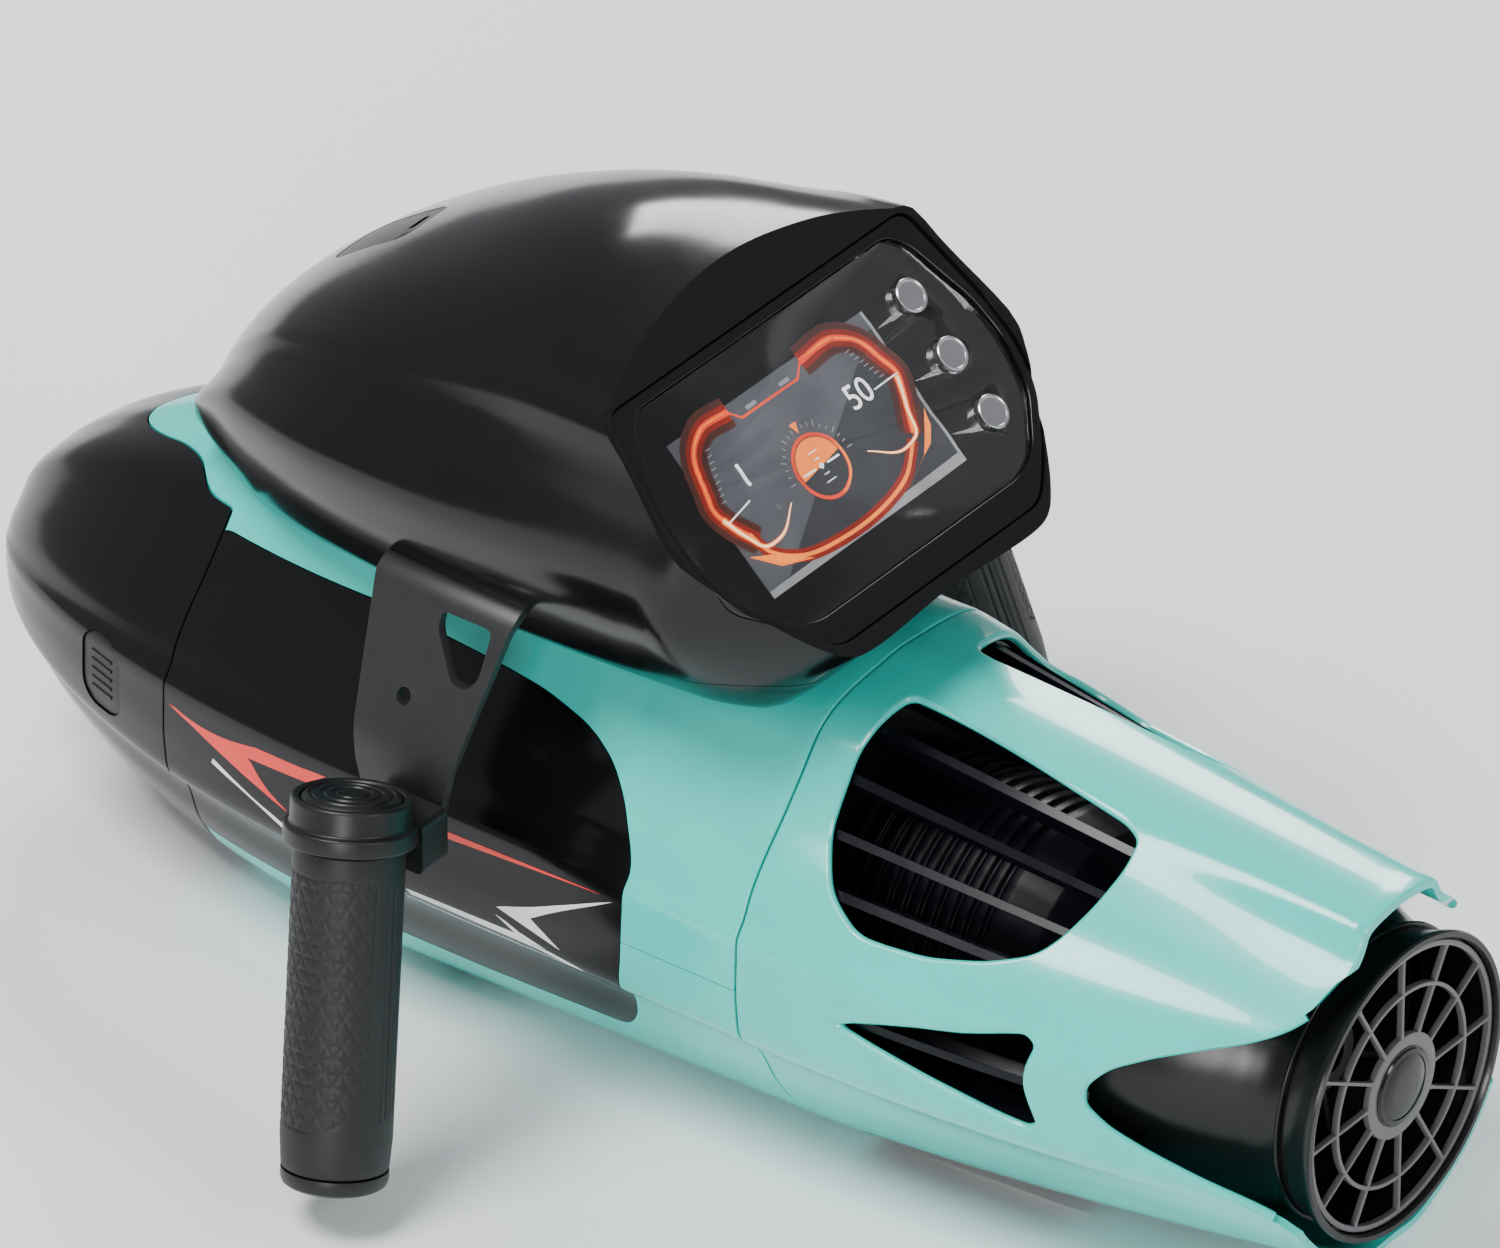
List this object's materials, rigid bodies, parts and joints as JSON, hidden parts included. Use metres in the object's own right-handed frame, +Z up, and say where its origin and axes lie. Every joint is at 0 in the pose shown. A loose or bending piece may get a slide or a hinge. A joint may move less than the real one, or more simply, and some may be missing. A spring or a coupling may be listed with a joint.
{
  "type": "underwater scooter",
  "caption": "Handheld underwater scooter with a jet pump in its tail, a display pod on top, two upright grips on side brackets, and a nose that lifts off for the battery.",
  "frame": {"origin": "under the middle of the hull's length, on the plane of the belly's flat", "axes": "+Y towards the nose, +X to starboard, +Z up"},
  "size_m": [0.3694, 0.5304, 0.2685],
  "materials": {
    "teal_shell": "gloss moulded, light turquoise",
    "gloss_black": "polished black",
    "satin_black": "satin black moulding",
    "bracket_grey": "fine satin dark grey",
    "grip_rubber": "matt black rubber with a lattice pattern",
    "bare_steel": "brushed, turned on the button faces",
    "copper_winding": "enamelled copper",
    "battery_grey": "fine light grey-lilac texture",
    "board_green": "circuit board",
    "dark_glass": "tinted, polished",
    "screen": "lit display",
    "seal_rubber": "soft black"
  },
  "bodies": {
    "hull": {"accessory_cover": "gloss_black", "battery_bay": "satin_black", "bay_connector": "satin_black", "bracket_screw_left_1": "bare_steel", "bracket_screw_left_2": "bare_steel", "bracket_screw_right_1": "bare_steel", "bracket_screw_right_2": "bare_steel", "controller_box": "bracket_grey", "display_bezel": "gloss_black", "display_board": "board_green", "display_glass": "dark_glass", "display_panel": "screen", "front_bearing": "bare_steel", "grille_hub_cap": "gloss_black", "grip_core_left": "satin_black", "grip_core_right": "satin_black", "grip_end_cap_left": "satin_black", "grip_end_cap_right": "satin_black", "grip_sleeve_left": "grip_rubber", "grip_sleeve_right": "grip_rubber", "guide_vanes": "satin_black", "handle_bracket_left": "bracket_grey", "handle_bracket_right": "bracket_grey", "headlight_lens": "dark_glass", "hull_shell_lower": "teal_shell", "hull_shell_upper": "teal_shell", "intake_grille": "satin_black", "motor_housing": "satin_black", "motor_stator": "copper_winding", "nose_seal_ring": "seal_rubber", "outlet_grille": "satin_black", "outlet_nozzle": "gloss_black", "pod_lower_tray": "satin_black", "pod_upper_cover": "gloss_black", "pump_housing": "satin_black", "rear_bearing": "bare_steel", "rear_bulkhead": "satin_black", "rear_shell": "teal_shell", "shaft_seal": "seal_rubber", "side_panel_left": "gloss_black", "side_panel_right": "gloss_black"},
    "nose": {"nose_cap": "gloss_black"},
    "latch_left": {"latch_button_left": "gloss_black"},
    "latch_right": {"latch_button_right": "gloss_black"},
    "battery": {"battery_case": "battery_grey", "battery_lid": "battery_grey", "battery_connector": "satin_black"},
    "battery_bail": {"battery_handle": "battery_grey"},
    "rotor": {"drive_shaft": "bare_steel", "motor_rotor": "bare_steel", "impeller": "bare_steel", "impeller_nut": "bare_steel"},
    "menu_key_1": {"menu_button_1": "bare_steel"},
    "menu_key_2": {"menu_button_2": "bare_steel"},
    "menu_key_3": {"menu_button_3": "bare_steel"},
    "throttle_left": {"throttle_button_left": "satin_black"},
    "throttle_right": {"throttle_button_right": "satin_black"}
  },
  "joints": [
    {"name": "nose_slide", "type": "slide", "parent": "hull", "child": "nose", "axis": [0, 1, 0], "range_m": [0, 0.28]},
    {"name": "battery_slide", "type": "slide", "parent": "hull", "child": "battery", "axis": [0, 1, 0], "range_m": [0, 0.26]},
    {"name": "bail_hinge", "type": "hinge", "parent": "battery", "child": "battery_bail", "pos_m": [0, 0.14865, 0.092], "axis": [1, 0, 0], "range_deg": [0, 90]},
    {"name": "rotor_spin", "type": "hinge", "parent": "hull", "child": "rotor", "pos_m": [0, -0.20125, 0.071], "axis": [0, 1, 0], "continuous": true},
    {"name": "latch_left_press", "type": "slide", "parent": "nose", "child": "latch_left", "axis": [1, 0, 0], "range_m": [0, 0.0025], "stiffness_N_per_m": 300},
    {"name": "throttle_left_press", "type": "slide", "parent": "hull", "child": "throttle_left", "axis": [-0.2596, -0.1311, -0.9568], "range_m": [0, 0.003], "stiffness_N_per_m": 300},
    {"name": "latch_right_press", "type": "slide", "parent": "nose", "child": "latch_right", "axis": [-1, 0, 0], "range_m": [0, 0.0025], "stiffness_N_per_m": 300},
    {"name": "throttle_right_press", "type": "slide", "parent": "hull", "child": "throttle_right", "axis": [0.2596, -0.1311, -0.9568], "range_m": [0, 0.003], "stiffness_N_per_m": 300},
    {"name": "menu_1_press", "type": "slide", "parent": "hull", "child": "menu_key_1", "axis": [0, 0.6884, -0.7254], "range_m": [0, 0.001], "stiffness_N_per_m": 400},
    {"name": "menu_2_press", "type": "slide", "parent": "hull", "child": "menu_key_2", "axis": [0, 0.6884, -0.7254], "range_m": [0, 0.001], "stiffness_N_per_m": 400},
    {"name": "menu_3_press", "type": "slide", "parent": "hull", "child": "menu_key_3", "axis": [0, 0.6884, -0.7254], "range_m": [0, 0.001], "stiffness_N_per_m": 400}
  ],
  "couplings": [
    {"joint": "battery_slide", "follows": "nose_slide", "ratio": 0.9}
  ]
}
